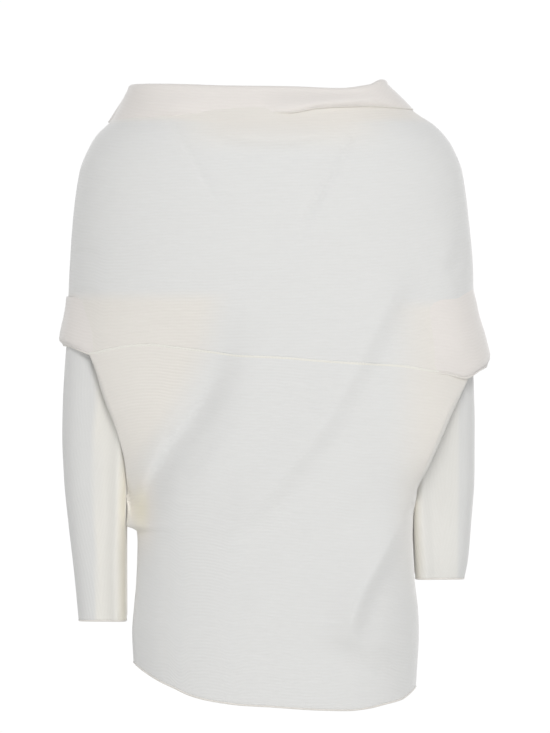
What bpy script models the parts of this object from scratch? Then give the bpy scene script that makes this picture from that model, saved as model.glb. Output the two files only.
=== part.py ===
"""A draped cowl sweater in its hollow worn form, as nine knitted pieces.

Run it with blender --background --python part.py, or from Blender's text editor.
Metres, +Z up. The back of the sweater faces -Y. The origin is the middle of the shoulder line,
where the wearer holds the sweater up. Left and right are those of someone who looks at its back.
"""

import bmesh
import bpy
import numpy as np

NAME = "draped_cowl_sweater"
MM = 0.001

# Cloth
WALL = 2.0 * MM  # thickness of the knit
SEAM_GAP = 0.3 * MM  # between pieces at a seam
NECK_GAP = 0.4 * MM  # between the collar and the yokes
IVORY = (0.78, 0.77, 0.74, 1.0)

# Level sections of the cloth, in millimetres from the origin: height, the half-widths to
# the left and right, the depths to the back and front, and the power of the rounded
# outline (2 is an ellipse, more is squarer). Below the elbows the half-widths are those
# that the cloth would have if the armholes were closed.
SECTION_COLUMNS = ("height", "left", "right", "back", "front", "power")
SECTIONS = (
    (40, 158, 136, 90, 104, 2.1),
    (24, 176, 148, 95, 110, 2.15),
    (13, 185, 158, 100, 115, 2.2),
    (0, 196, 181, 105, 120, 2.25),
    (-13, 213, 204, 109, 124, 2.3),
    (-28, 222, 215, 112, 127, 2.35),
    (-56, 232, 227, 115, 130, 2.4),
    (-114, 240, 235, 118, 134, 2.45),
    (-172, 244, 240, 118, 136, 2.5),
    (-215, 246, 241, 117, 136, 2.5),
    (-258, 250, 250, 115, 135, 2.5),
    (-280, 249, 253, 114, 134, 2.45),
    (-330, 236, 244, 112, 130, 2.4),
    (-391, 204, 212, 109, 126, 2.35),
    (-443, 183, 176, 106, 122, 2.35),
    (-456, 180, 168, 105, 120, 2.35),
    (-472, 174, 166, 104, 118, 2.35),
    (-480, 170, 166, 104, 117, 2.35),
    (-487, 162, 167, 103, 116, 2.35),
    (-546, 164, 170, 106, 117, 2.35),
    (-581, 167, 174, 110, 119, 2.35),
    (-606, 169, 175, 112, 120, 2.35),
    (-665, 166, 172, 114, 121, 2.35),
    (-720, 164, 168, 114, 121, 2.35),
)

# Free side edges of the body panels at the armholes, as distances from the middle:
# height, then the left and right edge of the back and of the front panel.
ARMHOLE_COLUMNS = ("height", "back_left", "back_right", "front_left", "front_right")
ARMHOLES = (
    (-270, 220, 236, 214, 226),
    (-293, 209, 233, 202, 218),
    (-323, 198, 222, 190, 204),
    (-368, 185, 204, 176, 184),
    (-407, 176.5, 187, 166, 164),
    (-443, 174.5, 170.5, 158, 152),
    (-456, 173.6, 168, 156, 168),
    (-472, 172.5, 166, 160, 166),
    (-480, 170, 166, 170, 166),
    (-487, 162, 167, 162, 167),
)
EDGE_BLEND = 0.15  # share of the panel over which an edge leaves the seam's end

# Lines across the cloth: distance from the middle and height, and about where they lie.
NECK_LEVEL, SEAM_LEVEL, HEM_LEVEL = 10, -275, -680
BACK_SEAM = (
    (-262, -262), (-243, -264), (-231, -269), (-216, -275), (-202, -268), (-148, -264),
    (-118, -268), (-70, -273), (-40, -277), (8, -279), (56, -283), (116, -287),
    (152, -289), (182, -294), (210, -298), (230, -302), (244, -293), (262, -280),
)
FRONT_SEAM = (
    (-262, -262), (-243, -264), (-216, -271), (-148, -270), (0, -282), (150, -284),
    (216, -292), (244, -293), (262, -280),
)
HEM = (
    (-170, -640), (-164, -645), (-156, -651), (-136, -663), (-118, -671), (-100, -679),
    (-82, -684), (-64, -687), (-40, -690), (-4, -692), (56, -696), (92, -697),
    (114, -695), (133, -691), (154, -686), (166, -678), (172, -672),
)
BACK_NECK = ((-186, 9), (-100, 14), (0, 16), (100, 20), (152, 23))
FRONT_NECK = ((-186, 9), (-110, -5), (-15, -12), (80, -2), (152, 23))
BACK_ROLL = ((-186, 3), (-100, 8), (0, 11), (100, 15), (152, 18))
FRONT_ROLL = ((-186, 3), (-110, -11), (-15, -18), (80, -8), (152, 18))
BACK_TOP = ((-180, 48), (-110, 46), (-60, 44), (20, 43), (80, 41), (118, 46), (135, 53), (150, 50))
FRONT_TOP = ((-180, 48), (-110, 34), (-10, 26), (90, 38), (135, 50), (150, 50))
COLLAR_LEFT, COLLAR_RIGHT, COLLAR_BACK, COLLAR_FRONT = 174, 138, 92, 104
COLLAR_POWER = 2.2  # of its rounded outline, seen from above
OUTER_LEAF, INNER_LEAF = 0.42, 0.62  # shares of the cloth at the fold's two sides
ROLL_RADIUS = 5.0  # of the collar's fold at the top
ROLL_CLEARANCE = 2.2  # of the outer leaf's edge over the yoke
ROLL_BULGE = 4.0  # how far the outer leaf swells between fold and edge
ROLL_OUT, ROLL_UP = 0.9, 0.45  # how the outer leaf's edge stands off the yoke

# Folds: the ridge from end to end, its height, how far it slopes on its upper left and
# its lower right side, and how deep the trough beside it is, as a part of the height.
FOLD_COLUMNS = ("ridge", "height", "before", "after", "trough")
FOLD_STARTS, FOLD_ENDS = 0.22, 0.3  # shares of a ridge over which it rises and dies away
TROUGH_AT = 2.1  # the trough's place, in widths of the lower right side
FOLDS_FADE = 0.45  # sine of the turn, from the garment's sides, over which folds start
BACK_FOLDS = (
    (((-172, -466), (-157, -418), (-130, -391), (-94, -358), (-65, -306), (-44, -250)), 9, 26, 13, 0.4),
    (((-118, -468), (-70, -408), (-28, -360)), 4, 20, 16, 0.2),
    (((152, -174), (134, -222), (92, -294), (44, -366), (-16, -438), (-64, -498)), 8, 30, 17, 0.45),
    (
        ((240, -290), (204, -368), (187, -407), (165, -452), (133, -508), (100, -565), (92, -611)),
        13, 50, 9, 0.1,
    ),
    (((116, -420), (74, -462), (32, -498)), 4, 24, 18, 0.3),
    (((234, -168), (206, -204)), -4, 9, 9, 0.0),
    (((-77, -17), (-54, -21), (-7, -29), (19, -24), (42, -17), (86, -6)), 4, 15, 13, 0.2),
    (((-120, -560), (-60, -590), (20, -610)), 4, 26, 22, 0.3),
    (((-20, -540), (40, -575), (90, -640)), 4, 26, 22, 0.3),
)
FRONT_FOLDS = (
    (((-110, -34), (-50, -58), (0, -66), (50, -58), (110, -34)), 5, 20, 18, 0.3),
    (((-120, -84), (-50, -116), (0, -124), (50, -116), (120, -84)), 4, 24, 20, 0.3),
    (((-150, -300), (-110, -380), (-50, -460)), 7, 28, 22, 0.4),
    (((150, -300), (110, -380), (50, -460)), 7, 22, 28, 0.4),
    (((-60, -520), (0, -560), (60, -600)), 4, 26, 22, 0.3),
)

# Sleeves: height, outer and inner edge as distances from the middle, and the place of
# the middle line in Y.
SLEEVE_COLUMNS = ("height", "outer", "inner", "forward")
LEFT_SLEEVE = (
    (-196, 242.4, 152, 0),
    (-260, 247.4, 158, 0),
    (-330, 252, 163, 4),
    (-373, 253, 169, 9),
    (-426, 251, 174.5, 16),
    (-474, 246.5, 176, 21),
    (-541, 239, 176, 26),
    (-595, 234, 176, 30),
)
RIGHT_SLEEVE = (
    (-206, 238, 152, 0),
    (-260, 240, 156, 0),
    (-300, 240.5, 159, 4),
    (-358, 242.4, 163, 12),
    (-420, 242.4, 167, 24),
    (-474, 239, 168, 33),
    (-522, 235, 170, 37),
    (-545, 230.5, 171.5, 39),
)
SLEEVE_DEPTH = 1.04  # front to back, as a part of the width

# Elbow bands: how near the middle they reach on each side, in millimetres, how far the
# lower corner stands out, and how far they hang below the cape's edge
BAND_WALL, BAND_END_WALL = 3.0 * MM, 1.2 * MM  # at the elbow and at its two ends
BAND_GAP = 0.7 * MM  # over the cape
BAND_REACH_LEFT, BAND_REACH_RIGHT = 204, 176
BAND_FLARE_LEFT, BAND_FLARE_RIGHT = 3.5 * MM, 5.0 * MM
BAND_DROP = 1.5 * MM

# Divisions of each piece, across and down
BACK_ACROSS = 48
FRONT_ACROSS = 34
YOKE_BAND_START = 0.79  # share of the way from the neck down at which the bands start
YOKE_BAND_ROW = 9
YOKE_ROWS_BELOW = 3
BODY_BACK_DOWN = 34
BODY_FRONT_DOWN = 20
SLEEVE_GRID = (18, 12)
COLLAR_GRID = (52, 11)


def column(table, columns, name):
    """One named column of a table, as an array."""
    return np.array([row[columns.index(name)] for row in table], float)


def smooth(at, xs, ys):
    """A smooth curve through the points (xs, ys) that never overshoots them, read at the places given."""
    xs, ys = np.asarray(xs, float), np.asarray(ys, float)
    steps = np.diff(xs)
    slopes = np.diff(ys) / steps
    tangents = np.zeros(len(xs))
    same_way = slopes[1:] * slopes[:-1] > 0
    total = np.where(same_way, slopes[1:] + slopes[:-1], 1.0)
    tangents[1:-1] = np.where(same_way, 2 * slopes[1:] * slopes[:-1] / total, 0.0)
    tangents[0], tangents[-1] = slopes[0], slopes[-1]
    at = np.clip(np.asarray(at, float), xs[0], xs[-1])
    i = np.clip(np.searchsorted(xs, at) - 1, 0, len(xs) - 2)
    t = (at - xs[i]) / steps[i]
    start = ys[i] * (1 + 2 * t) * (1 - t) ** 2 + tangents[i] * steps[i] * t * (1 - t) ** 2
    end = ys[i + 1] * t * t * (3 - 2 * t) + tangents[i + 1] * steps[i] * t * t * (t - 1)
    return start + end


def of_height(table, columns, name, height):
    """A table's column as a smooth curve of the height. The tables run downwards."""
    return smooth(-np.asarray(height), -column(table, columns, "height"), column(table, columns, name))


def of_line(line, across):
    """The height of a line across the cloth, at a distance from the middle."""
    return smooth(across, [point[0] for point in line], [point[1] for point in line])


def ease(t):
    """0 below 0, 1 above 1, and a soft step between."""
    t = np.clip(t, 0.0, 1.0)
    return t * t * (3 - 2 * t)


def fold_depth(folds, x, z):
    """How far the folds lift the cloth at the places x, z, in millimetres."""
    lift = np.zeros(np.broadcast(x, z).shape)
    for row in folds:
        fold = dict(zip(FOLD_COLUMNS, row))
        ridge = np.array(fold["ridge"], float)
        pieces = np.diff(ridge, axis=0)
        lengths = np.hypot(*pieces.T)
        starts = np.concatenate([[0], np.cumsum(lengths)])
        nearest = np.full(lift.shape, 1e9)
        aside = np.zeros(lift.shape)
        along = np.zeros(lift.shape)
        for k, (step, length) in enumerate(zip(pieces, lengths)):
            dx, dz = x - ridge[k, 0], z - ridge[k, 1]
            t = np.clip((dx * step[0] + dz * step[1]) / length**2, 0, 1)
            away = np.hypot(dx - t * step[0], dz - t * step[1])
            turn = np.sign(dx * step[1] - dz * step[0]) * np.sign(step[1])
            closer = away < nearest
            nearest = np.where(closer, away, nearest)
            aside = np.where(closer, -turn * away, aside)
            along = np.where(closer, (starts[k] + t * length) / starts[-1], along)
        width = np.where(aside < 0, fold["before"], fold["after"])
        shape = np.exp(-((aside / width) ** 2))
        trough = np.exp(-((aside / fold["after"] - TROUGH_AT) ** 2))
        shape = shape - np.where(aside > 0, fold["trough"] * trough, 0)
        ends = ease(along / FOLD_STARTS) * ease((1 - along) / FOLD_ENDS)
        lift = lift + fold["height"] * shape * ends
    return lift


def cloth_point(turn, height):
    """A point of the draped cloth, in metres. The turn runs from 0 at the right side over the
    back to pi at the left side, and from 0 over the front to -pi. The height is in millimetres."""
    sections = {name: of_height(SECTIONS, SECTION_COLUMNS, name, height) for name in SECTION_COLUMNS[1:]}
    c, s = np.cos(turn), np.sin(turn)
    power = 2 / sections["power"]
    x = np.sign(c) * np.abs(c) ** power * np.where(c < 0, sections["left"], sections["right"])
    y = -np.sign(s) * np.abs(s) ** power * np.where(s < 0, sections["front"], sections["back"])
    lift = np.where(s < 0, -fold_depth(FRONT_FOLDS, x, height), fold_depth(BACK_FOLDS, x, height))
    y = y - lift * ease(np.abs(s) / FOLDS_FADE)
    return np.stack([x, y, np.broadcast_to(height, x.shape)], axis=-1) * MM


def cloth_inside(turn, height):
    """The point behind a point of the cloth, on the wall's inner face."""
    turns = cloth_point(turn + 0.01, height) - cloth_point(turn - 0.01, height)
    rises = cloth_point(turn, height + 0.5) - cloth_point(turn, height - 0.5)
    normal = np.cross(turns, rises) * -1
    normal /= np.linalg.norm(normal, axis=-1, keepdims=True)
    return cloth_point(turn, height) - normal * WALL


def turn_at(across, height, front=False):
    """The turn at which the cloth has this distance from the middle."""
    side = np.where(across < 0, "left", "right")
    width = np.where(
        side == "left",
        of_height(SECTIONS, SECTION_COLUMNS, "left", height),
        of_height(SECTIONS, SECTION_COLUMNS, "right", height),
    )
    power = of_height(SECTIONS, SECTION_COLUMNS, "power", height)
    share = np.clip(np.abs(across) / width, 0, 1) ** (power / 2)
    turn = np.arccos(np.sign(across) * share)
    return -turn if front else turn


def surface(place, u, v, wall, flip=1):
    """Outer and inner points of a wall on the surface that place(u, v) gives."""
    u, v = np.meshgrid(u, v)
    small = 1e-3
    along = place(u + small, v) - place(u - small, v)
    down = place(u, v + small) - place(u, v - small)
    normal = np.cross(down, along) * flip
    normal /= np.linalg.norm(normal, axis=-1, keepdims=True)
    outer = place(u, v)
    return outer, outer - normal * wall


def add_object(name, points, triangles):
    """A closed mesh object with the ivory knit's material."""
    mesh = bpy.data.meshes.new(name)
    mesh.from_pydata(points.tolist(), [], triangles)
    shape = bmesh.new()
    shape.from_mesh(mesh)
    bmesh.ops.recalc_face_normals(shape, faces=shape.faces)
    if shape.calc_volume(signed=True) < 0:
        bmesh.ops.reverse_faces(shape, faces=shape.faces)
    shape.to_mesh(mesh)
    shape.free()
    mesh.shade_smooth()
    mesh.set_sharp_from_angle(angle=np.radians(50))
    piece = bpy.data.objects.new(name, mesh)
    bpy.data.collections[NAME].objects.link(piece)
    material = bpy.data.materials.new(name + "_knit")
    material.use_nodes = True
    shader = material.node_tree.nodes["Principled BSDF"]
    shader.inputs["Base Color"].default_value = IVORY
    shader.inputs["Roughness"].default_value = 0.9
    shader.inputs["Metallic"].default_value = 0.0
    mesh.materials.append(material)
    return piece


def wall_object(name, outer, inner, ring=False):
    """A closed wall between two grids of points. A ring's last column joins its first."""
    rows, columns = outer.shape[:2]
    points = np.concatenate([outer.reshape(-1, 3), inner.reshape(-1, 3)])
    half = rows * columns
    triangles = []

    def quad(a, b, c, d):
        triangles.append((a, b, c))
        triangles.append((a, c, d))

    last = columns if ring else columns - 1
    for i in range(rows - 1):
        for j in range(last):
            a, b = i * columns + j, i * columns + (j + 1) % columns
            c, d = b + columns, a + columns
            quad(a, b, c, d)
            triangles.append((half + a, half + c, half + b))
            triangles.append((half + a, half + d, half + c))
    for i in (0, rows - 1):
        for j in range(last):
            a, b = i * columns + j, i * columns + (j + 1) % columns
            quad(a, half + a, half + b, b) if i == 0 else quad(a, b, half + b, half + a)
    if not ring:
        for j in (0, columns - 1):
            for i in range(rows - 1):
                a, b = i * columns + j, (i + 1) * columns + j
                quad(a, b, half + b, half + a) if j == 0 else quad(a, half + a, half + b, b)
    return add_object(name, points, triangles)


def line_at_turn(line, turn, near):
    """The height of a line across the cloth, at a turn. The line lies near the given height."""
    return of_line(line, cloth_point(turn, np.full(turn.shape, float(near)))[..., 0] / MM)


def seam_at_turn(turn, front):
    """The height of the elbow seam at a turn, straight from one column of the yoke to the next."""
    columns = np.linspace(0, np.pi, FRONT_ACROSS if front else BACK_ACROSS)
    line, way = (FRONT_SEAM, -1) if front else (BACK_SEAM, 1)
    return np.interp(np.abs(turn), columns, line_at_turn(line, columns * way, SEAM_LEVEL))


def yoke_place(front):
    """The yoke's surface. u runs from the right side to the left, v from the neck down."""
    neck = FRONT_NECK if front else BACK_NECK

    def place(u, v):
        turn = np.pi * u * (-1 if front else 1)
        top = line_at_turn(neck, turn, NECK_LEVEL)
        bottom = seam_at_turn(turn, front) + SEAM_GAP / MM / 2
        return cloth_point(turn, top + (bottom - top) * v)

    return place


def body_edges(front):
    """The turns at which the body's right and left edges leave the elbow seam."""
    edges = ("front_right", "front_left") if front else ("back_right", "back_left")
    across = [ARMHOLES[0][ARMHOLE_COLUMNS.index(edge)] for edge in edges]
    level = np.full(2, float(SEAM_LEVEL))
    return turn_at(np.array([across[0], -across[1]]), level, front)


def body_place(front):
    """A body panel's surface. u runs from the right edge to the left, v from the seam to the hem."""
    way = -1 if front else 1
    starts = body_edges(front)
    seam_ends = seam_at_turn(starts, front)
    hem_ends = of_line(HEM, np.array([HEM[-1][0], HEM[0][0]], float))
    edges = ("front_right", "front_left") if front else ("back_right", "back_left")

    def table_turn(which, v):
        height = seam_ends[which] + (hem_ends[which] - seam_ends[which]) * v
        across = of_height(ARMHOLES, ARMHOLE_COLUMNS, edges[which], height) * (1, -1)[which]
        side_turn = (0, np.pi)[which] * way
        return np.where(height < ARMHOLES[-1][0], side_turn, turn_at(across, height, front))

    def edge_turn(which, v):
        first = starts[which] - table_turn(which, np.zeros(1))
        return table_turn(which, v) + first * ease(1 - v / EDGE_BLEND)

    def place(u, v):
        right, left = edge_turn(0, v), edge_turn(1, v)
        turn = right + (left - right) * u
        at_seam = starts[0] + (starts[1] - starts[0]) * u
        top = seam_at_turn(at_seam, front) - SEAM_GAP / MM / 2
        bottom = line_at_turn(HEM, np.pi * u * way, HEM_LEVEL)
        return cloth_point(turn, top + (bottom - top) * v)

    return place


def panel(name, place, columns, rows, front):
    """A wall on a panel's surface, half a seam gap away from the other side's panel."""
    outer, inner = surface(place, columns, rows, WALL, 1 if front else -1)
    move = np.array([0, SEAM_GAP / 2 * (1 if front else -1), 0])
    wall_object(name, outer + move, inner + move)
    return outer + move, inner + move


def make_yokes():
    """Both yokes, with a row of points where the elbow bands start."""
    above = np.linspace(0, YOKE_BAND_START, YOKE_BAND_ROW + 1)
    below = np.linspace(YOKE_BAND_START, 1, YOKE_ROWS_BELOW + 1)
    rows = np.concatenate([above, below[1:]])
    back = panel("yoke_back", yoke_place(False), np.linspace(0, 1, BACK_ACROSS), rows, False)
    front = panel("yoke_front", yoke_place(True), np.linspace(0, 1, FRONT_ACROSS), rows, True)
    return back, front


def make_bodies():
    """Both body panels. Their columns meet those of the yokes at the elbow seam."""
    for name, front, across, down in (
        ("body_back", False, BACK_ACROSS, BODY_BACK_DOWN),
        ("body_front", True, FRONT_ACROSS, BODY_FRONT_DOWN),
    ):
        right, left = body_edges(front)
        yoke_turns = np.linspace(0, 1, across) * np.pi * (-1 if front else 1)
        columns = (yoke_turns - right) / (left - right)
        spare = 0.3 / across
        columns = columns[(columns > spare) & (columns < 1 - spare)]
        columns = np.concatenate([[0], columns, [1]])
        panel(name, body_place(front), columns, np.linspace(0, 1, down), front)


def make_sleeve(name, table, sign):
    """A close tube round the arm, from inside the cape down to the open cuff."""

    def place(u, v):
        top, bottom = table[0][0], table[-1][0]
        height = top + (bottom - top) * v
        outer = of_height(table, SLEEVE_COLUMNS, "outer", height)
        inner = of_height(table, SLEEVE_COLUMNS, "inner", height)
        forward = of_height(table, SLEEVE_COLUMNS, "forward", height)
        half = (outer - inner) / 2
        x = sign * ((outer + inner) / 2 + half * np.cos(2 * np.pi * u))
        y = forward + half * SLEEVE_DEPTH * np.sin(2 * np.pi * u)
        return np.stack([x, y, height], axis=-1) * MM

    across, down = SLEEVE_GRID
    outer, inner = surface(place, np.arange(across) / across, np.linspace(0, 1, down), WALL, sign)
    wall_object(name, outer, inner, ring=True)


def collar_heights(turn):
    """The heights of the collar's outer edge and of its neck seam, at a turn."""
    front = np.sin(turn) < 0
    lines = ((FRONT_ROLL, BACK_ROLL), (FRONT_NECK, BACK_NECK))
    return [
        np.where(front, line_at_turn(ahead, turn, NECK_LEVEL), line_at_turn(behind, turn, NECK_LEVEL))
        for ahead, behind in lines
    ]


def collar_place(u, v):
    """The collar's outside, from the outer leaf's edge over the fold to the neck seam."""
    turn = 2 * np.pi * u - np.pi
    roll_height, neck_height = collar_heights(turn)
    c, s = np.cos(turn), np.sin(turn)
    power = 2 / COLLAR_POWER
    x = np.sign(c) * np.abs(c) ** power * np.where(c < 0, COLLAR_LEFT, COLLAR_RIGHT)
    y = -np.sign(s) * np.abs(s) ** power * np.where(s < 0, COLLAR_FRONT, COLLAR_BACK)
    top_height = np.where(s < 0, of_line(FRONT_TOP, x), of_line(BACK_TOP, x))
    outward = np.stack([x / COLLAR_LEFT, y / COLLAR_BACK, np.zeros(x.shape)], axis=-1)
    outward /= np.linalg.norm(outward, axis=-1, keepdims=True)
    up = np.array([0, 0, 1.0])
    fold = np.stack([x, y, top_height - ROLL_RADIUS], axis=-1) - outward * ROLL_RADIUS
    lean = (outward * ROLL_OUT + up * ROLL_UP) * (WALL / MM + ROLL_CLEARANCE)
    edge = cloth_point(turn, roll_height) / MM + lean
    neck = (cloth_inside(turn, neck_height) + up * NECK_GAP) / MM
    t = np.clip(v / OUTER_LEAF, -1, 1)[..., None]
    outer_leaf = edge + (fold + outward * ROLL_RADIUS - edge) * t + outward * ROLL_BULGE * np.sin(np.pi * t)
    arc = np.clip((v - OUTER_LEAF) / (INNER_LEAF - OUTER_LEAF), 0, 1)[..., None] * np.pi
    over = fold + (outward * np.cos(arc) + up * np.sin(arc)) * ROLL_RADIUS
    t = np.clip((v - INNER_LEAF) / (1 - INNER_LEAF), 0, 2)[..., None]
    inner_leaf = fold - outward * ROLL_RADIUS + (neck - fold + outward * ROLL_RADIUS) * t
    v = v[..., None]
    return np.where(v < OUTER_LEAF, outer_leaf, np.where(v < INNER_LEAF, over, inner_leaf)) * MM


def make_collar():
    """The collar, whose last row of points meets the yokes' walls at the neck seam."""
    across, along = COLLAR_GRID
    u, v = np.arange(across) / across, np.linspace(0, 1, along)
    outer, inner = surface(collar_place, u, v, WALL, 1)
    turn = 2 * np.pi * u - np.pi
    neck_height = collar_heights(turn)[1]
    inner[-1] = cloth_point(turn, neck_height) + np.array([0, 0, NECK_GAP])
    wall_object("collar", outer, inner, ring=True)


def make_band(name, sign, yokes, reach, flare):
    """The cape's turned-back edge at one elbow, made from the two yokes' points, moved out."""
    outer_parts, inner_parts = [], []
    for outer, inner in yokes:
        across = sign * outer[-2, :, 0] / MM
        near = np.flatnonzero(across > reach)
        order = near if across[-1] > 0 else near[::-1]
        outer_parts.append(outer[YOKE_BAND_ROW:, order])
        inner_parts.append(inner[YOKE_BAND_ROW:, order])
    joined = []
    for back, front in (outer_parts, inner_parts):
        side = (back[:, -1:] + front[:, -1:]) / 2
        joined.append(np.concatenate([back[:, :-1], side, front[:, -2::-1]], axis=1))
    cape, inside = joined
    outward = (cape - inside) / np.linalg.norm(cape - inside, axis=-1, keepdims=True)
    rows, columns = cape.shape[:2]
    u, v = np.meshgrid(np.linspace(0, 1, columns), np.linspace(0, 1, rows))
    spread = flare * (np.sin(np.pi * u) ** 2 * v**2)[..., None]
    lower = cape + outward * (BAND_GAP + spread)
    lower[-1, :, 2] -= BAND_DROP
    thickness = BAND_END_WALL + (BAND_WALL - BAND_END_WALL) * ease(3 * np.minimum(u, 1 - u))[..., None]
    wall_object(name, lower + outward * thickness, lower)


def main():
    for old in list(bpy.data.objects):
        bpy.data.objects.remove(old)
    bpy.context.scene.collection.children.link(bpy.data.collections.new(NAME))
    make_collar()
    yokes = make_yokes()
    make_bodies()
    make_sleeve("sleeve_left", LEFT_SLEEVE, -1)
    make_sleeve("sleeve_right", RIGHT_SLEEVE, 1)
    make_band("band_left", -1, yokes, BAND_REACH_LEFT, BAND_FLARE_LEFT)
    make_band("band_right", 1, yokes, BAND_REACH_RIGHT, BAND_FLARE_RIGHT)


main()
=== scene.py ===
"""A draped cowl sweater in fine ivory rib knit, worn form, seen from its back.

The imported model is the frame: metres, +Z up, the back of the sweater towards -Y, the origin in the
middle of the shoulder line. Tables below are in millimetres from that origin.
"""

import bpy
import numpy as np
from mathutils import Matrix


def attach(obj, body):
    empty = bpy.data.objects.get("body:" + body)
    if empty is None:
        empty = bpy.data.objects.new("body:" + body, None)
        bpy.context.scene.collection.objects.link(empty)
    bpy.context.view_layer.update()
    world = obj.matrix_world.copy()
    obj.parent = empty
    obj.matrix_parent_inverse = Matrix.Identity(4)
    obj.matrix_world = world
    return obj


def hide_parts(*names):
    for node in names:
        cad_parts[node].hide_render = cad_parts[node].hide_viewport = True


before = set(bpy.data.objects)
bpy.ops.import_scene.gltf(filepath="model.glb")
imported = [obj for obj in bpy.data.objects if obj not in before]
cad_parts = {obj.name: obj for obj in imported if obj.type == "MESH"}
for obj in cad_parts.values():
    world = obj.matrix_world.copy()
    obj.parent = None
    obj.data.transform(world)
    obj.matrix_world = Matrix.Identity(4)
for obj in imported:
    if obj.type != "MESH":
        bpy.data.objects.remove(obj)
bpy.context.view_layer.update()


# Yokes
# The cape-like upper back and front: two wide knitted panels that hang from the neckline over the
# shoulders to the elbows, linked along the overarms. They set the form that all cloth follows.

MM = 0.001
KNIT_WALL = 2.0 * MM
POINT_SPACING = 3.0 * MM  # of the cloth's mesh

# Level sections: height, half-widths left and right, depths back and front, roundness
SECTIONS = np.array((
    (40, 157, 146, 90, 104, 2.1),
    (24, 174, 160, 95, 110, 2.12),
    (13, 186, 173, 100, 115, 2.15),
    (0, 199, 193, 105, 120, 2.15),
    (-13, 212, 206, 109, 124, 2.15),
    (-28, 221, 216, 112, 127, 2.15),
    (-56, 232, 227, 115, 130, 2.15),
    (-114, 240, 235, 118, 134, 2.15),
    (-172, 244, 240, 118, 136, 2.15),
    (-215, 246, 241, 117, 136, 2.2),
    (-258, 250, 250, 115, 135, 2.25),
    (-280, 249, 253, 114, 134, 2.3),
    (-330, 236, 244, 112, 130, 2.35),
    (-391, 204, 212, 109, 126, 2.35),
    (-443, 178, 174, 106, 122, 2.35),
    (-472, 166, 168, 105, 118, 2.35),
    (-500, 162.5, 167.5, 105, 116, 2.3),
    (-546, 164, 170, 107, 117, 2.25),
    (-581, 167, 174, 110, 119, 2.25),
    (-606, 169, 175, 112, 120, 2.25),
    (-665, 166, 172, 114, 121, 2.25),
    (-720, 164, 168, 114, 121, 2.25),
))
# The left drape ends in a small loose corner, the pouch: how far out it goes, and the levels from
# which it builds up, each with its reach
POUCH_OUT, POUCH_FOOT, POUCH_TOP = 12, (-486, 5), (-440, -45)
POUCH_POWER = 5  # keeps it near the side
BACK_SEAM = (
    (-262, -262), (-243, -264), (-231, -269), (-216, -274), (-198, -270), (-170, -265),
    (-148, -264), (-118, -267), (-70, -273), (-40, -277), (8, -279), (56, -283), (116, -287),
    (152, -289), (182, -294), (210, -298), (230, -302), (244, -293), (262, -280),
)
FRONT_SEAM = (
    (-262, -262), (-243, -264), (-216, -271), (-148, -270), (0, -282), (150, -284),
    (216, -292), (244, -293), (262, -280),
)
BACK_NECK = ((-186, 9), (-100, 14), (0, 16), (100, 20), (166, 23))
FRONT_NECK = ((-186, 9), (-110, -5), (-15, -12), (80, -2), (166, 23))
NECK_LEVEL, SEAM_LEVEL, HEM_LEVEL = 10, -275, -680

# Creases: ridge line; its height, its reach on the upper left and on the lower right side, and the
# upper left side's power, 2 for a bell; depth and place of the trough beyond it, which rises slowly;
# shares of its length over which it starts and ends
LEFT_FOLD = (
    (-186, -486), (-168, -451), (-138, -403), (-96, -343), (-72, -295), (-54, -247), (-44, -200),
)
LONG_DIAGONAL = (
    (163, -164), (146, -194), (130, -228), (96, -294), (66, -350), (20, -408), (-30, -463), (-74, -505),
)
RIGHT_FOLD = (
    (240, -290), (204, -368), (187, -407), (165, -452), (133, -508), (115, -538), (100, -565),
    (92, -600), (93, -632),
)
BACK_CREASES = (
    (LEFT_FOLD, (-27, 72, 27, 1.3), (0, 1), (0.1, 0.5)),
    (
        ((-169, -482), (-160, -440), (-136, -380), (-109, -341), (-79, -307), (-54, -258)),
        (4.5, 12, 8, 2), (0, 1), (0.08, 0.5),
    ),
    (((-118, -440), (-110, -427), (-71, -374), (-31, -328)), (-2.5, 12, 12, 2), (0, 1), (0.22, 0.3)),
    (LONG_DIAGONAL, (7, 30, 17, 2), (2.5, 24), (0.15, 0.2)),
    (RIGHT_FOLD, (20, 42, 14, 1.2), (0, 1), (0.25, 0.15)),
    (((172, -470), (124, -560), (100, -650)), (11, 40, 50, 2), (0, 1), (0.3, 0.2)),
    (((116, -420), (74, -462), (32, -498)), (2, 24, 18, 2), (1, 20), (0.3, 0.3)),
    (((234, -134), (224, -156), (208, -182)), (-4, 9, 9, 2), (0, 1), (0.22, 0.3)),
    (
        ((214, -80), (216, -150), (219, -210), (224, -250), (230, -290)),
        (6, 30, 15, 2), (0, 1), (0.3, 0.15),
    ),
    (((-80, -6), (-40, -17), (10, -20), (50, -15), (86, -3)), (5.5, 18, 11, 2), (2, 15), (0.3, 0.3)),
    (((-128, 7), (-105, -26), (-72, -85), (-55, -108)), (-1.1, 3.5, 3.5, 2), (0, 1), (0.1, 0.4)),
    (((100, -6), (70, -62), (41, -115), (24, -162)), (-2.6, 3.5, 3.5, 2), (0, 1), (0.1, 0.4)),
    (((-240, -155), (-222, -154), (-205, -155)), (-2.5, 4, 4, 2), (0, 1), (0.2, 0.4)),
    (((-242, -202), (-224, -201), (-207, -202)), (-2.5, 4, 4, 2), (0, 1), (0.2, 0.4)),
    (((176, -155), (190, -154), (204, -156)), (-1.8, 4, 4, 2), (0, 1), (0.4, 0.4)),
    (((30, -515), (0, -545), (-30, -585)), (2, 20, 16, 2), (0, 1), (0.3, 0.3)),
)
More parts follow.
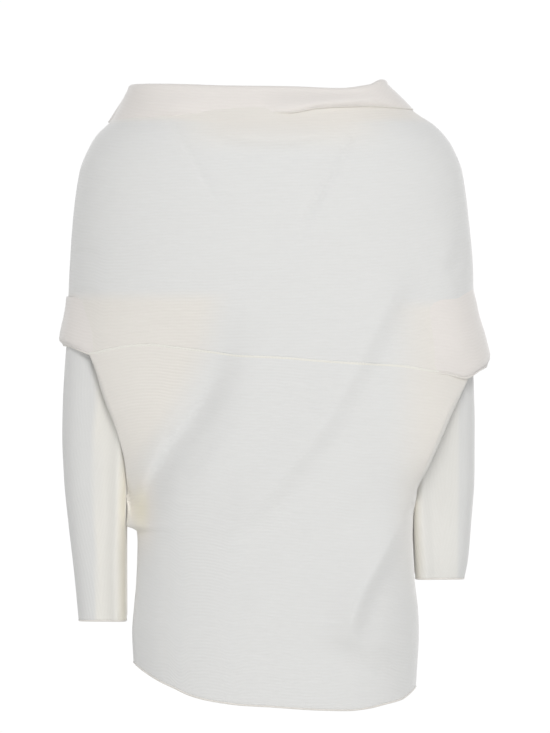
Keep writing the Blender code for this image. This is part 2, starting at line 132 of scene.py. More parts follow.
FRONT_CREASES = (
    (((-110, -34), (-50, -58), (0, -66), (50, -58), (110, -34)), (5, 20, 18, 2), (2, 26), (0.3, 0.3)),
    (((-120, -84), (-50, -116), (0, -124), (50, -116), (120, -84)), (4, 24, 20, 2), (2, 30), (0.3, 0.3)),
    (((-150, -300), (-110, -380), (-50, -460)), (7, 28, 22, 2), (3, 30), (0.3, 0.3)),
    (((150, -300), (110, -380), (50, -460)), (7, 22, 28, 2), (3, 30), (0.3, 0.3)),
    (((-60, -520), (0, -560), (60, -600)), (4, 26, 22, 2), (1, 30), (0.3, 0.3)),
)
RIDGE_POINTS = 30  # on each crease's curve
CREASE_FADE = 0.3  # creases fade out at the sides, where |sin(turn)| is below this


def smooth(at, xs, ys):
    """A cubic curve through (xs, ys) with harmonic-mean slopes, so that it never overshoots them."""
    xs, ys = np.asarray(xs, float), np.asarray(ys, float)
    steps = np.diff(xs)
    slopes = np.diff(ys) / steps
    same_way = slopes[1:] * slopes[:-1] > 0
    total = np.where(same_way, slopes[1:] + slopes[:-1], 1.0)
    inner = np.where(same_way, 2 * slopes[1:] * slopes[:-1] / total, 0.0)
    tangents = np.concatenate([slopes[:1], inner, slopes[-1:]])
    at = np.clip(np.asarray(at, float), xs[0], xs[-1])
    i = np.clip(np.searchsorted(xs, at) - 1, 0, len(xs) - 2)
    t = (at - xs[i]) / steps[i]
    start = ys[i] * (1 + 2 * t) * (1 - t) ** 2 + tangents[i] * steps[i] * t * (1 - t) ** 2
    return start + ys[i + 1] * t * t * (3 - 2 * t) + tangents[i + 1] * steps[i] * t * t * (t - 1)


def down_table(table, column, height):
    """A column of a table whose rows run downwards, as a smooth curve of the height."""
    return smooth(-np.asarray(height), -table[:, 0], table[:, column])


def line_height(line, across):
    """The height of a line across the cloth, at a distance from the middle."""
    line = np.array(line, float)
    return smooth(across, line[:, 0], line[:, 1])


def ease(t):
    """0 below 0, 1 above 1, and the cubic step 3t2 - 2t3 between."""
    t = np.clip(t, 0.0, 1.0)
    return t * t * (3 - 2 * t)


def past(value, zone):
    """0 up to a zone's start, 1 from its reach on, and eased between; a reach below 0 runs down."""
    start, reach = zone
    return ease((value - start) / reach)


def crease_lift(creases, x, z):
    """The sum of the creases. Each is its height times exp(-(distance / reach) ^ power) from its
    ridge line, with power 2 on the lower right side, less its trough's depth times
    (a exp(1 - a)) ^ 2, where a is the distance over the trough's. It is eased in and out along it."""
    lift = np.zeros(x.shape)
    for ridge, (height, before, after, power), (depth, reach), (fade_in, fade_out) in creases:
        ridge = np.array(ridge, float)
        marks = np.concatenate([[0], np.cumsum(np.hypot(*np.diff(ridge, axis=0).T))])
        even = np.linspace(0, marks[-1], RIDGE_POINTS)
        ridge = np.stack([smooth(even, marks, ridge[:, 0]), smooth(even, marks, ridge[:, 1])], axis=-1)
        pieces = np.diff(ridge, axis=0)
        lengths = np.hypot(*pieces.T)
        starts = np.concatenate([[0], np.cumsum(lengths)])
        nearest = np.full(x.shape, np.inf)
        aside, along = np.zeros(x.shape), np.zeros(x.shape)
        for k, (step, length) in enumerate(zip(pieces, lengths)):
            dx, dz = x - ridge[k, 0], z - ridge[k, 1]
            t = np.clip((dx * step[0] + dz * step[1]) / length**2, 0, 1)
            away = np.hypot(dx - t * step[0], dz - t * step[1])
            side = np.sign(dx * step[1] - dz * step[0]) * np.sign(step[0] + step[1])
            closer = away < nearest
            nearest = np.where(closer, away, nearest)
            aside = np.where(closer, side * away, aside)
            along = np.where(closer, (starts[k] + t * length) / starts[-1], along)
        crest = np.exp(-np.where(aside < 0, (np.abs(aside) / before) ** power, (aside / after) ** 2))
        beyond = np.clip(aside, 0, None) / reach
        dip = (beyond * np.exp(1 - beyond)) ** 2
        lift += (height * crest - depth * dip) * ease(along / fade_in) * ease((1 - along) / fade_out)
    return lift


def cloth(turn, height):
    """Points of the draped cloth in millimetres. A level section is a superellipse: x goes with
    cos(turn) and y with sin(turn), both to the power 2 / roundness. The turn runs from 0 at the
    right side over the back to pi at the left, and over the front to -pi. The pouch adds to the
    left half-width a hump times |cos(turn)| to its power, and the creases push y outwards."""
    left, right, back, front, roundness = (down_table(SECTIONS, k, height) for k in range(1, 6))
    c, s = np.cos(turn), np.sin(turn)
    pouch = POUCH_OUT * past(height, POUCH_FOOT) * past(height, POUCH_TOP)
    left = left + pouch * np.abs(c) ** POUCH_POWER
    x = np.sign(c) * np.abs(c) ** (2 / roundness) * np.where(c < 0, left, right)
    y = -np.sign(s) * np.abs(s) ** (2 / roundness) * np.where(s < 0, front, back)
    lift = np.where(s < 0, -crease_lift(FRONT_CREASES, x, height), crease_lift(BACK_CREASES, x, height))
    y = y - lift * ease(np.abs(s) / CREASE_FADE)
    return np.stack([x, y, np.broadcast_to(height, x.shape)], axis=-1)


def line_at(line, turn, level):
    """The height of a line across the cloth at a turn, for a line that lies near a level."""
    return line_height(line, cloth(turn, np.full(turn.shape, float(level)))[..., 0])


def normals(grid):
    """Unit normals of a grid of points, from the cross product of its two directions."""
    found = np.cross(np.gradient(grid, axis=0), np.gradient(grid, axis=1))
    return found / np.linalg.norm(found, axis=-1, keepdims=True)


def knit_mesh(name, grid, ring=False, clear=0.0):
    """A mesh through a grid of points in millimetres, rows down and columns across, with a UV map in metres
    along the cloth. clear says where the cloth hangs clear of what it covers, 0 to 1, and from 1 to 2 where
    it also lies close to another layer, where warm bounce light is painted."""
    grid = np.asarray(grid) * MM
    rows, columns = grid.shape[:2]
    index = np.arange(rows * columns).reshape(rows, columns)
    if ring:
        index = np.concatenate([index, index[:, :1]], axis=1)
        grid = np.concatenate([grid, grid[:, :1]], axis=1)
    across = np.linalg.norm(np.diff(grid, axis=1), axis=-1).cumsum(axis=1)
    across = np.pad(across, ((0, 0), (1, 0)))
    across -= across[:, [across.shape[1] // 2]]
    ahead = np.gradient(grid, axis=1)
    ahead = ahead[1:] + ahead[:-1]
    ahead /= np.linalg.norm(ahead, axis=-1, keepdims=True)
    down = np.linalg.norm(np.cross(np.diff(grid, axis=0), ahead), axis=-1).cumsum(axis=0)
    down = np.pad(down, ((1, 0), (0, 0)))
    corners = ((0, 0), (1, 0), (1, 1), (0, 1))

    def per_face(values):
        n, m = values.shape[0] - 1, values.shape[1] - 1
        return np.stack([values[i : n + i, j : m + j] for i, j in corners], axis=-1).reshape(-1, 4)

    faces, u, v = per_face(index), per_face(across), per_face(-down)
    mesh = bpy.data.meshes.new(name)
    mesh.from_pydata(grid[:, :columns].reshape(-1, 3), [], faces)
    mesh.uv_layers.new(name="cloth").data.foreach_set("uv", np.stack([u, v], axis=-1).ravel())
    mesh.attributes.new("clear", "FLOAT", "POINT").data.foreach_set(
        "value", np.broadcast_to(clear, (rows, columns)).astype(np.float32).ravel()
    )
    mesh.shade_smooth()
    piece = bpy.data.objects.new(name, mesh)
    bpy.context.scene.collection.objects.link(piece)
    return piece


def give_wall(piece):
    """The knit's thickness, grown inwards from the outer face."""
    wall = piece.modifiers.new("wall", "SOLIDIFY")
    wall.thickness = KNIT_WALL
    wall.offset = -1


def linear(hex_colour):
    """An sRGB hex colour as linear RGBA."""
    srgb = np.array([int(hex_colour[i : i + 2], 16) for i in (1, 3, 5)]) / 255
    low, high = srgb / 12.92, ((srgb + 0.055) / 1.055) ** 2.4
    return (*np.where(srgb <= 0.04045, low, high), 1.0)


def add(tree, kind, links=(), **settings):
    """A node with its settings; links are pairs of an input and the output or value that feeds it."""
    node = tree.nodes.new(kind)
    for key, value in settings.items():
        setattr(node, key, value)
    for socket, source in links:
        if isinstance(source, bpy.types.NodeSocket):
            tree.links.new(source, node.inputs[socket])
        else:
            node.inputs[socket].default_value = source
    return node


RIB_PITCH = 3.8 * MM  # the ribs that show, about every second course
STITCH_PITCH = 1.9 * MM
WAVERS_PER_METRE = 60.0  # the ribs waver in patches of about 17 mm
WAVER_SHARE = 0.6  # of their pitch
FUZZ_PER_METRE = 900.0  # specks of about 1.1 mm
STITCH_SHARE, FUZZ_SHARE = 0.15, 0.5  # of a rib's height
RELIEF, RELIEF_STRENGTH = 0.16 * MM, 0.3
GROOVE_SHADE_SHARE, GROOVE_SHADE_TOP = 0.05, 0.2  # painted shade in the rib grooves: how much of its colour a groove takes, and up to what height
COVERING, CLEAR = "#EAEAE9", "#EFEBE5"  # over what it covers the ivory looks greyer
# The painted shade colour at the bottom of the rib grooves
PAINTED_GROOVE_SHADE = "#D6D1C6"
PAINTED_BOUNCE_CREAM = "#F2ECDA"  # painted warm bounce light: where layers lie close, the light between them takes up more of the yarn's cream


def rib_knit(name, ribs_run, covering=COVERING, clear=CLEAR):
    """Fine rib knit, soft-spun cotton and viscose: a matt ivory with a little fuzz, and low ribs that catch
    light as fine lines, with painted shade in their grooves and, where the clear attribute is above 1,
    painted warm bounce light. The ribs run across the piece or lengthwise, as ribs_run says."""
    material = bpy.data.materials.new(name)
    material.use_nodes = True
    tree = material.node_tree
    shader = tree.nodes["Principled BSDF"]
    shader.inputs["Roughness"].default_value = 0.88
    shader.inputs["IOR"].default_value = 1.5
    shader.inputs["Specular IOR Level"].default_value = 0.25
    shader.inputs["Sheen Weight"].default_value = 0.7
    shader.inputs["Sheen Roughness"].default_value = 0.5
    place = add(tree, "ShaderNodeUVMap", uv_map="cloth").outputs["UV"]
    split = add(tree, "ShaderNodeSeparateXYZ", [("Vector", place)])
    over, along = ("Y", "X") if ribs_run == "across" else ("X", "Y")
    patch = add(
        tree, "ShaderNodeTexNoise", [("Vector", place), ("Scale", WAVERS_PER_METRE), ("Detail", 3.0)]
    )
    waver = add(
        tree,
        "ShaderNodeMath",
        [(0, patch.outputs["Fac"]), (1, RIB_PITCH * WAVER_SHARE)],
        operation="MULTIPLY",
    )
    wavered = add(
        tree, "ShaderNodeMath", [(0, split.outputs[over]), (1, waver.outputs[0])], operation="ADD"
    )
    rib_turn = add(
        tree,
        "ShaderNodeMath",
        [(0, wavered.outputs[0]), (1, 2 * np.pi / RIB_PITCH)],
        operation="MULTIPLY",
    )
    rib = add(tree, "ShaderNodeMath", [(0, rib_turn.outputs[0])], operation="SINE")
    stitch_turn = add(
        tree,
        "ShaderNodeMath",
        [(0, split.outputs[along]), (1, 2 * np.pi / STITCH_PITCH)],
        operation="MULTIPLY",
    )
    stitch = add(tree, "ShaderNodeMath", [(0, stitch_turn.outputs[0])], operation="SINE")
    fuzz = add(
        tree, "ShaderNodeTexNoise", [("Vector", place), ("Scale", FUZZ_PER_METRE), ("Detail", 2.0)]
    )
    low_stitch = add(
        tree, "ShaderNodeMath", [(0, stitch.outputs[0]), (1, STITCH_SHARE)], operation="MULTIPLY"
    )
    ribbed = add(tree, "ShaderNodeMath", [(0, rib.outputs[0]), (1, low_stitch.outputs[0])], operation="ADD")
    relief = add(
        tree,
        "ShaderNodeMath",
        [(0, fuzz.outputs["Fac"]), (1, FUZZ_SHARE), (2, ribbed.outputs[0])],
        operation="MULTIPLY_ADD",
    )
    bump = add(
        tree,
        "ShaderNodeBump",
        [("Strength", RELIEF_STRENGTH), ("Distance", RELIEF), ("Height", relief.outputs[0])],
    )
    tree.links.new(bump.outputs["Normal"], shader.inputs["Normal"])
    hangs = add(tree, "ShaderNodeAttribute", attribute_name="clear")
    ivory = add(
        tree,
        "ShaderNodeMix",
        [("Factor", hangs.outputs["Fac"]), ("A", linear(covering)), ("B", linear(clear))],
        data_type="RGBA",
    )
    # Painted warm bounce light: the clear attribute above 1 mixes in the bounce cream
    close = add(tree, "ShaderNodeMath", [(0, hangs.outputs["Fac"]), (1, 1.0)], operation="SUBTRACT")
    bounce_lit = add(
        tree,
        "ShaderNodeMix",
        [("Factor", close.outputs[0]), ("A", ivory.outputs["Result"]), ("B", linear(PAINTED_BOUNCE_CREAM))],
        data_type="RGBA",
    )
    # Painted shade in the rib grooves: the lower the rib's wave, the more of the groove colour
    depth = add(
        tree,
        "ShaderNodeMapRange",
        [
            ("Value", rib.outputs[0]), ("From Min", -1.0), ("From Max", GROOVE_SHADE_TOP),
            ("To Min", GROOVE_SHADE_SHARE), ("To Max", 0.0),
        ],
    )
    shaded = add(
        tree,
        "ShaderNodeMix",
        [("Factor", depth.outputs["Result"]), ("A", bounce_lit.outputs["Result"]), ("B", linear(PAINTED_GROOVE_SHADE))],
        data_type="RGBA",
    )
    tree.links.new(shaded.outputs["Result"], shader.inputs["Base Color"])
    return material


rib_across = rib_knit("ivory_rib_knit_across", "across")
# Turned-back cloth is double, so less shows through and its ivory looks fuller
DOUBLED = "#F0EBE7"
rib_double = rib_knit("ivory_rib_knit_double", "across", DOUBLED, DOUBLED)


def sew(piece, node, material):
    """Finishes a piece of cloth: its wall, material and body, and the solid that it stands for."""
    give_wall(piece)
    piece.data.materials.append(material)
    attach(piece, "root")
    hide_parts(node)


def fraction(length):
    """Evenly spaced shares from 0 to 1 for a stretch of this many millimetres."""
    return np.linspace(0, 1, int(np.ceil(length / (POINT_SPACING / MM))) + 1)


# Where the cloth hangs clear, as starts and reaches: left of the left fold and below a level, right
# of the middle, below a level and below a slanting line, and under the collar
LEFT_BESIDE, LEFT_BELOW = (5, -50), (-196, -20)
RIGHT_BESIDE, RIGHT_BELOW, RIGHT_SLOPE, RIGHT_ABOVE = (130, 60), (-206, -20), 0.9, (-450, 120)
NECK_MIDDLE, NECK_ABOVE, NECK_WITHIN, SHOULDER_ABOVE = 10, (-44, 50), (150, -90), (-2, 12)
# The spot at the pouch that lies close to the sleeve, painted with warm bounce light: its middle, and its
# reach across and down
CLOSE_MIDDLE, CLOSE_REACH = (-158, -462), (16, 40)


def clear_zone(x, z):
    """Where the cloth hangs clear of what it covers, 0 to 1: at both elbows, in the drape at the left and
    under the collar. The close spot, where warm bounce light is painted, is 2 at its middle, and fades as
    exp(-distance ^ 2)."""
    fold = np.array(LEFT_FOLD)
    left = past(x - smooth(z, fold[:, 1], fold[:, 0]), LEFT_BESIDE) * past(z, LEFT_BELOW)
    right = past(x, RIGHT_BESIDE) * past(z, RIGHT_BELOW) * past(x * RIGHT_SLOPE + z, RIGHT_ABOVE)
    neck = past(z, NECK_ABOVE) * past(np.abs(x - NECK_MIDDLE), NECK_WITHIN) + past(z, SHOULDER_ABOVE)
    close_x, close_z = ((p - middle) / reach for p, middle, reach in zip((x, z), CLOSE_MIDDLE, CLOSE_REACH))
    close = np.exp(-(close_x**2) - close_z**2)
    return np.clip(left + right + neck, 0, 1) * (1 - close) + 2 * close


NECK_TUCK = 6  # how far the yokes reach up inside the rolled collar
YOKE_ACROSS, YOKE_DOWN = 660, 310  # for the mesh's spacing

for side, way, neck, seam, flat in (
    ("back", 1, BACK_NECK, BACK_SEAM, (0.66, 0.33)),
    ("front", -1, FRONT_NECK, FRONT_SEAM, (0.68, 0.33)),
):
    u, v = np.meshgrid(fraction(YOKE_ACROSS), fraction(YOKE_DOWN))
    turn = np.pi * u * way
    top = line_at(neck, turn, NECK_LEVEL) + NECK_TUCK
    height = top + (line_at(seam, turn, SEAM_LEVEL) - top) * v
    grid = cloth(turn, height)
    if way > 0:
        grid = grid[:, ::-1]
    yoke = knit_mesh(f"yoke_{side}_cloth", grid, clear=clear_zone(grid[..., 0], grid[..., 2]))
    sew(yoke, f"yoke_{side}", rib_across)


# Body
# The lower back and front, linked under the yokes at the elbows. Each hangs free at its sides down
# to the bottom of the armhole, where the two are joined, and ends in a curved linked-off hem.

# Free side edges: height, then distance from the middle on the back left, back right, front left
# and front right. The panels are joined where this is more than the cloth's half-width.
ARMHOLES = np.array((
    (-270, 220, 236, 214, 226),
    (-293, 211, 233, 202, 218),
    (-323, 203, 222, 190, 204),
    (-368, 186, 204, 176, 184),
    (-407, 177, 187, 166, 164),
    (-443, 175, 171.5, 158, 152),
    (-456, 176.5, 171.5, 156, 172),
    (-472, 180, 184, 160, 190),
    (-480, 200, 200, 176, 200),
))
HEM = (
    (-170, -640), (-164, -645), (-156, -651), (-136, -663), (-118, -671), (-100, -679),
    (-82, -684), (-64, -687), (-40, -690), (-4, -692), (56, -696), (92, -697),
    (114, -695), (133, -691), (154, -686), (166, -678), (172, -672),
)
BODY_ACROSS, BODY_DOWN = 500, 430  # for the mesh's spacing
EDGE_BLEND = 0.15  # share of the panel over which an edge leaves the seam's end
# The body starts a little above the yoke's lower edge and just under it: how far up, how far in, and
# over what stretch it comes out again
SEAM_LAP, SEAM_SINK, SEAM_SINK_OVER = 1.5, 0.3, 7
# The free edges lean in towards the sleeves: how far, over what width, and above which level
EDGE_CURL = {"right": (14, 18, (-450, 90)), "left": (6, 13, (-410, 90))}
CURL_RISE, CURL_POWER = 6, 1.5  # it builds up over a sixth of the panel, and is steepest at the edge
JOINED = 0.02  # the panels are joined where sin(turn) is below this

# Linking is one tight chain of the same yarn; its lighter ivory is a painted highlight for the little more
# light it catches than the knit
LINKED_HIGHLIGHT = "#F3F1EA"
linked_seam_highlight = rib_knit("ivory_linked_seam", "lengthwise", LINKED_HIGHLIGHT, LINKED_HIGHLIGHT)

# Edgings: width along the cloth, height away from it, and how deep the middle sits
HEM_EDGE, ELBOW_SEAM, ARMHOLE_EDGE = (2.4, 2.8, 0.8), (3.4, 0.7, 0), (1.8, 1.8, 1)
EDGING_SIDES = 10


def turn_at(across, height):
    """The turn on the back at which the cloth has this distance from the middle: the arccosine of
    its share of the half-width to the power roundness / 2."""
    width = np.where(across < 0, down_table(SECTIONS, 1, height), down_table(SECTIONS, 2, height))
    share = np.clip(np.abs(across) / width, 0, 1) ** (down_table(SECTIONS, 5, height) / 2)
    return np.arccos(np.sign(across) * share)


def bead(name, path, outward, size, ring=False, colour=rib_across):
    """A thin rounded edging carried along a path in millimetres: an ellipse, width along the cloth
    and height away from it, set square to the path."""
    width, height, sunk = size
    path = path - outward * sunk
    if ring:
        ahead = np.roll(path, -1, axis=0) - np.roll(path, 1, axis=0)
    else:
        ahead = np.gradient(path, axis=0)
    ahead /= np.linalg.norm(ahead, axis=-1, keepdims=True)
    aside = np.cross(ahead, outward)
    aside /= np.linalg.norm(aside, axis=-1, keepdims=True)
    angle = np.linspace(0, 2 * np.pi, EDGING_SIDES, endpoint=False)[:, None, None]
    around = path + (aside * np.cos(angle) * width + outward * np.sin(angle) * height) / 2
    edging = knit_mesh(name, np.concatenate([around, around[:1]]), ring=ring, clear=1.0)
    edging.data.materials.append(colour)
    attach(edging, "root")
    return edging


for side, way, seam, right, left in (("back", 1, BACK_SEAM, 2, 1), ("front", -1, FRONT_SEAM, 4, 3)):
    v = fraction(BODY_DOWN)[:, None]
    u = fraction(BODY_ACROSS)[None]
    edges = []
    for column, sign, hem_end in ((right, 1, HEM[-1][1]), (left, -1, HEM[0][1])):
        start = turn_at(np.array([ARMHOLES[0, column] * sign]), np.array([SEAM_LEVEL]))
        seam_end = line_at(seam, start * way, SEAM_LEVEL)
        height = seam_end + (hem_end - seam_end) * v
        turn = turn_at(down_table(ARMHOLES, column, height) * sign, height)
        edges.append(turn + (start - turn[0]) * ease(1 - v / EDGE_BLEND))
    turn = way * (np.pi * u + edges[0] * (1 - u) ** 3 + (edges[1] - np.pi) * u**3)
    top = line_at(seam, turn[:1], SEAM_LEVEL) + SEAM_LAP
    height = top + (line_at(HEM, way * np.pi * u, HEM_LEVEL) - top) * v
    grid = cloth(turn, height)
    if way > 0:
        grid = grid[:, ::-1]
    outward = normals(grid)
    under_seam = np.exp(-((v * BODY_DOWN / SEAM_SINK_OVER) ** 2))[..., None]
    grid = grid - outward * SEAM_SINK * under_seam
    apart = np.arange(u.size) * POINT_SPACING / MM
    curl = np.zeros(grid.shape[:2])
    for hand, (depth, width, lowest) in EDGE_CURL.items():
        from_edge = apart if (hand == "left") == (way > 0) else apart[::-1]
        free = ease(CURL_RISE * v) * past(height, lowest)
        curl += depth * free * ease(1 - from_edge / width) ** CURL_POWER
    grid[..., 1] += way * curl
    body = knit_mesh(f"body_{side}_cloth", grid, clear=clear_zone(grid[..., 0], grid[..., 2]))
    trims = [
        bead(f"hem_edge_{side}", grid[-1], outward[-1], HEM_EDGE),
        bead(f"elbow_seam_{side}", (grid[0] + grid[1]) / 2, outward[0], ELBOW_SEAM, colour=linked_seam_highlight),
    ]
    for hand, edge in (("right", edges[0]), ("left", edges[1])):
        end = -1 if (hand == "right") == (way > 0) else 0
        free = np.sin(edge[:, 0]) > JOINED
        trims.append(
            bead(f"armhole_edge_{side}_{hand}", grid[free, end], outward[free, end], ARMHOLE_EDGE)
        )
    sew(body, f"body_{side}", rib_across)


# Sleeves
# Two plain narrow sleeves of the same yarn, ribbed lengthwise, that come out from under the yokes
# at the elbows. Each is one tube with a linked seam on its inner side and a small turned cuff edge.

# Height, outer and inner edge as distances from the middle, and the middle line's place in Y
LEFT_SLEEVE = np.array((
    (-196, 242.4, 152, 0),
    (-260, 247.4, 158, 0),
    (-330, 252, 163, 4),
    (-373, 253, 169, 9),
    (-426, 251, 174.5, 16),
    (-474, 246.5, 176, 21),
    (-541, 239, 176, 26),
    (-595, 234, 176, 30),
))
RIGHT_SLEEVE = np.array((
    (-206, 238, 152, 0),
    (-260, 240, 156, 0),
    (-300, 240.5, 159, 4),
    (-358, 242.4, 163, 12),
    (-420, 242.4, 167, 24),
    (-474, 239, 168, 33),
    (-522, 235, 170, 37),
    (-545, 230.5, 171.5, 39),
))
SLEEVE_COLUMNS = 84
SLEEVE_DEPTH = 1.04  # front to back, as a part of the width
# The inner half hangs flatter than the outer one, most at its top, and sags back: by the sleeve's
# two measures low down and high up, building up from its middle to the inner and to the back side
OUTER_ROUNDNESS, HIGH_ROUNDNESS, LOW_ROUNDNESS, ROUNDER_BELOW = 3.0, 4.4, 3.0, (-450, -90)
SAG_ABOVE, SAG_INWARDS, SAG_BACKWARDS = (-400, 60), 2, 3
BOUNCE_SHARE, BOUNCE_REACH = 0.8, 14  # painted warm bounce light at the inner side, beside the body
CUFF_EDGE, SLEEVE_SEAM = (2.4, 2.2, 0.7), (3.0, 1.2, 0)
rib_lengthwise = rib_knit("ivory_rib_knit_lengthwise", "lengthwise", "#E5E5E4", "#F2F0EA")

# Each sleeve: its levels between which the seam shows, the distance from the middle and reach at
# which it starts to hang clear, how clear it hangs, its sag low down and high up, and its cut
for name, sign, table, seam_ends, hangs, full, (low_sag, high_sag), flat in (
    ("sleeve_left", -1, LEFT_SLEEVE, (-324, -590), (216, -6), 1.0, (9, 18), (0.27, 0.41)),
    ("sleeve_right", 1, RIGHT_SLEEVE, (-330, -540), (225, -6), 0.6, (9, 22), (0.25, 0.35)),
):
    top, bottom = table[0, 0], table[-1, 0]
    height = (top + (bottom - top) * fraction(top - bottom))[:, None]
    around = np.linspace(0, 2 * np.pi, SLEEVE_COLUMNS, endpoint=False)[None] - np.pi / 2
    outer, inner, forward = (down_table(table, k, height) for k in (1, 2, 3))
    half = (outer - inner) / 2
    c, s = np.cos(around), np.sin(around)
    inner_roundness = HIGH_ROUNDNESS + (LOW_ROUNDNESS - HIGH_ROUNDNESS) * past(height, ROUNDER_BELOW)
    roundness = np.where(c * sign > 0, OUTER_ROUNDNESS, inner_roundness)
    x = sign * (outer + inner) / 2 + half * np.sign(c) * np.abs(c) ** (2 / roundness)
    y = forward + half * SLEEVE_DEPTH * np.sign(s) * np.abs(s) ** (2 / roundness)
    sag = low_sag + (high_sag - low_sag) * past(height, SAG_ABOVE)
    y = y - sag * ease(-SAG_INWARDS * c * sign) * ease(-SAG_BACKWARDS * s)
    grid = np.stack([x, y, np.broadcast_to(height, x.shape)], axis=-1)
    outward = normals(np.concatenate([grid[:, -1:], grid, grid[:, :1]], axis=1))[:, 1:-1]
    clear = full * past(np.abs(x), hangs)
    # Painted warm bounce light along the inner side, beside the body
    clear = clear + BOUNCE_SHARE * past(np.abs(x), (inner + BOUNCE_REACH, -BOUNCE_REACH))
    sleeve = knit_mesh(f"{name}_cloth", grid, ring=True, clear=clear)
    shows = (height[:, 0] < seam_ends[0]) & (height[:, 0] > seam_ends[1])
    inmost = SLEEVE_COLUMNS // 4 if sign < 0 else 3 * SLEEVE_COLUMNS // 4
    trims = [
        bead(f"{name}_cuff_edge", grid[-1], outward[-1], CUFF_EDGE, ring=True),
        bead(f"{name}_seam", grid[shows, inmost], outward[shows, inmost], SLEEVE_SEAM),
    ]
    sew(sleeve, name, rib_lengthwise)


# Collar
# A deep double band of the same knit, linked to the neck and turned over outwards. It stands up in
# a soft fold, and its outer leaf rolls down on the yokes and sinks into them behind the neck.

BACK_ROLL = ((-186, 3), (-100, 8), (-28, 13), (20, 10.5), (56, 16), (128, 19), (166, 18))
FRONT_ROLL = ((-186, 3), (-110, -11), (-15, -18), (80, -8), (166, 18))
BACK_TOP = ((-180, 48), (-110, 46), (-60, 44), (20, 43), (80, 41), (118, 46), (135, 53), (150, 50))
FRONT_TOP = ((-180, 48), (-110, 34), (-10, 26), (90, 38), (135, 50), (150, 50))
COLLAR_LEFT, COLLAR_RIGHT, COLLAR_BACK, COLLAR_FRONT = 174, 138, 92, 104
COLLAR_ROUNDNESS = 2.8, 3.6  # left and right
COLLAR_COLUMNS, COLLAR_DOWN = 330, 50  # for the mesh's spacing
FOLD_RADIUS, FOLD_STEPS = 5.0, 9
# How far the outer leaf's edge stands off the yoke behind and in front, which way, and how far the
# leaf swells above it, most below its middle
LEAF_OFF = (
    (-186, -0.5), (-130, -2), (-60, -2.5), (-20, -2), (10, 0.5), (40, 2.5), (90, 2.5), (120, 2), (152, 1),
)
FRONT_OFF, OFF_OUT, OFF_UP = 2.0, 0.9, 0.45
LEAF_SWELL = (
    (-174, -1), (-162, 0), (-142, 3), (-115, 5), (-80, 1.5), (-20, 1), (20, 4), (80, 6), (120, 4), (138, 1),
)
FRONT_SWELL, SWELL_POWER = 5, 1.6
COLLAR_EDGE = (2.0, 2.6, 1.0)

turn = np.linspace(np.pi, -np.pi, COLLAR_COLUMNS, endpoint=False)
front = np.sin(turn) < 0
roll = np.where(front, line_at(FRONT_ROLL, turn, NECK_LEVEL), line_at(BACK_ROLL, turn, NECK_LEVEL))
neck = np.where(front, line_at(FRONT_NECK, turn, NECK_LEVEL), line_at(BACK_NECK, turn, NECK_LEVEL))
c, s = np.cos(turn), np.sin(turn)
roundness = np.where(c < 0, *COLLAR_ROUNDNESS)
x = np.sign(c) * np.abs(c) ** (2 / roundness) * np.where(c < 0, COLLAR_LEFT, COLLAR_RIGHT)
y = -np.sign(s) * np.abs(s) ** (2 / roundness) * np.where(s < 0, COLLAR_FRONT, COLLAR_BACK)
top = np.where(front, line_height(FRONT_TOP, x), line_height(BACK_TOP, x))
off = np.where(front, FRONT_OFF, line_height(LEAF_OFF, x))[:, None]
swell = np.where(front, FRONT_SWELL * s**2, line_height(LEAF_SWELL, x))[:, None]
out = np.stack([x / COLLAR_LEFT, y / COLLAR_BACK, np.zeros(x.shape)], axis=-1)
out /= np.linalg.norm(out, axis=-1, keepdims=True)
up = np.array([0, 0, 1.0])
fold = np.stack([x, y, top - FOLD_RADIUS], axis=-1) - out * FOLD_RADIUS
edge = cloth(turn, roll) + (out * OFF_OUT + up * OFF_UP) * off
inside = cloth(turn, neck) - out * 2 * KNIT_WALL / MM
t = fraction(COLLAR_DOWN)[:, None, None]
leaf = fold + out * FOLD_RADIUS + (edge - fold - out * FOLD_RADIUS) * t
leaf = leaf + out * swell * np.sin(np.pi * t**SWELL_POWER)
bend = np.linspace(np.pi, 0, FOLD_STEPS)[1:-1, None, None]
over = fold + (out * np.cos(bend) + up * np.sin(bend)) * FOLD_RADIUS
lining = inside + (fold - out * FOLD_RADIUS - inside) * t
collar = knit_mesh("collar_cloth", np.concatenate([lining, over, leaf]), ring=True, clear=1.0)
trims = [bead("collar_edge", edge, out, COLLAR_EDGE, ring=True)]
sew(collar, "collar", rib_double)


# Elbow bands
# Where the yokes' lower edge passes over each elbow it is turned back into a soft narrow band, which
# stands off the sleeve at its lower corner and dies away into the cape at both ends.

BAND_COLUMNS, BAND_DOWN = 72, 66  # for the mesh's spacing
BAND_DROP = 1.5  # how far it hangs past the yoke's edge
BAND_SUNK, BAND_STEP = 0.6, 4.6  # it starts inside the yoke and steps out
BAND_TAPER = 3  # each end takes a third of its length
BAND_ROUNDING = (0.84, 0.16)  # where down the band its lower edge starts to round in, and the reach
BAND_EDGE = (2.6, 3.0, 1.0)

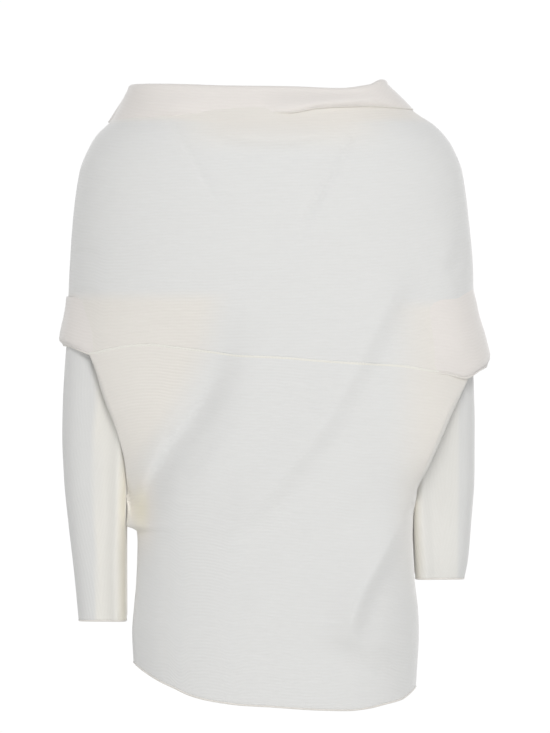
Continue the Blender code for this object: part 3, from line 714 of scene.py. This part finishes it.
# Each band: the turn at its middle, how near to the sweater's middle it ends, the share of the yoke
# at which it starts, the share of the band over which it steps out, how far it flares, how much of
# the step its top edge has, how far its lower edge rounds in, and its cut
for name, middle, reach, starts_at, rise, flare, top_edge, under, flat in (
    ("band_left", np.pi, 204, 0.79, 0.8, 3.6, 0.7, 6, (0.20, 0.075)),
    ("band_right", 0, 176, 0.69, 0.3, 5.0, 0.0, 5, (0.27, 0.09)),
):
    level = np.array([SEAM_LEVEL])
    across = np.array([-reach if middle else reach])
    spread = np.abs(turn_at(across, level) - middle)
    turn = (middle + spread * np.linspace(1, -1, BAND_COLUMNS))[None]
    back = np.sin(turn) > 0
    v = fraction(BAND_DOWN)[:, None]
    lines = ((BACK_NECK, FRONT_NECK, NECK_LEVEL), (BACK_SEAM, FRONT_SEAM, SEAM_LEVEL))
    top, bottom = (
        np.where(back, line_at(behind, turn, near), line_at(ahead, turn, near))
        for behind, ahead, near in lines
    )
    grid = cloth(turn, top + (bottom - top) * (starts_at + (1 - starts_at) * v) - BAND_DROP * v)
    u = np.linspace(0, 1, BAND_COLUMNS)[None]
    ends = ease(BAND_TAPER * np.minimum(u, 1 - u))
    starts = top_edge * ends**2 + (1 - top_edge * ends**2) * ease(v / rise)
    away = -BAND_SUNK + BAND_STEP * ends * starts + flare * ends * v**2
    away = away - under * ends * past(v, BAND_ROUNDING) ** 2
    grid = grid + normals(grid) * away[..., None]
    band = knit_mesh(f"{name}_cloth", grid, clear=1.0)
    trims = [bead(f"{name}_edge", grid[-1], normals(grid)[-1], BAND_EDGE)]
    sew(band, name, rib_double)


# Studio
# A plain pale floor under the hanging sweater, the even light of a bright backdrop behind it, and
# two large soft lamps in front, one high and one low, both a little to the right.

PAGE = 0.66  # width of the view in metres at the sweater's middle
VIEW_FROM = (0.0024, -8.0, -0.2898)
SENSOR = 36  # millimetres
FLOOR_LEVEL, FLOOR_REACH = -1.40, 5
LAMPS_FACE = (0, 0, -0.3)

floor_mesh = bpy.data.meshes.new("studio_floor")
quarters = ((-1, -1), (1, -1), (1, 1), (-1, 1))
floor_corners = [(FLOOR_REACH * i, FLOOR_REACH * j, FLOOR_LEVEL) for i, j in quarters]
floor_mesh.from_pydata(floor_corners, [], [(0, 1, 2, 3)])
floor = bpy.data.objects.new("studio_floor", floor_mesh)
bpy.context.scene.collection.objects.link(floor)
paint = bpy.data.materials.new("matt_white_floor_paint")
paint.use_nodes = True
paint.node_tree.nodes["Principled BSDF"].inputs["Base Color"].default_value = linear("#E8E8E6")
paint.node_tree.nodes["Principled BSDF"].inputs["Roughness"].default_value = 0.8
floor_mesh.materials.append(paint)

world = bpy.data.worlds.new("studio_light")
bpy.context.scene.world = world
world.use_nodes = True
sky = world.node_tree
way_to = add(sky, "ShaderNodeTexCoord")
parts = add(sky, "ShaderNodeSeparateXYZ", [("Vector", way_to.outputs["Generated"])])
glow = add(
    sky,
    "ShaderNodeMapRange",
    [
        ("Value", parts.outputs["Y"]), ("From Min", -0.75), ("From Max", 0.97),
        ("To Min", 0.2), ("To Max", 1.02),
    ],
)
sky.links.new(glow.outputs["Result"], sky.nodes["Background"].inputs["Strength"])
sky.nodes["Background"].inputs["Color"].default_value = linear("#FFFFFF")

for name, place, width, power in (
    ("key_lamp", (0.5, -5.1, 2.2), 1.8, 124),
    ("fill_lamp", (0.4, -6.4, -0.8), 2.6, 70),
):
    lamp = bpy.data.lights.new(name, "AREA")
    lamp.size = width
    lamp.energy = power
    holder = bpy.data.objects.new(name, lamp)
    bpy.context.scene.collection.objects.link(holder)
    holder.location = place
    aim = np.array(LAMPS_FACE) - place
    tilt = np.arccos(-aim[2] / np.linalg.norm(aim))
    heading = np.arctan2(aim[1], aim[0]) - np.pi / 2
    holder.rotation_euler = (tilt, 0, heading)

lens = bpy.data.cameras.new("back_view")
lens.sensor_fit = "HORIZONTAL"
lens.sensor_width = SENSOR
lens.lens = SENSOR * -VIEW_FROM[1] / PAGE
view = bpy.data.objects.new("back_view", lens)
view.location = VIEW_FROM
view.rotation_euler = (np.pi / 2, 0, 0)
bpy.context.scene.collection.objects.link(view)
bpy.context.scene.camera = view
bpy.context.scene.view_settings.view_transform = "Standard"
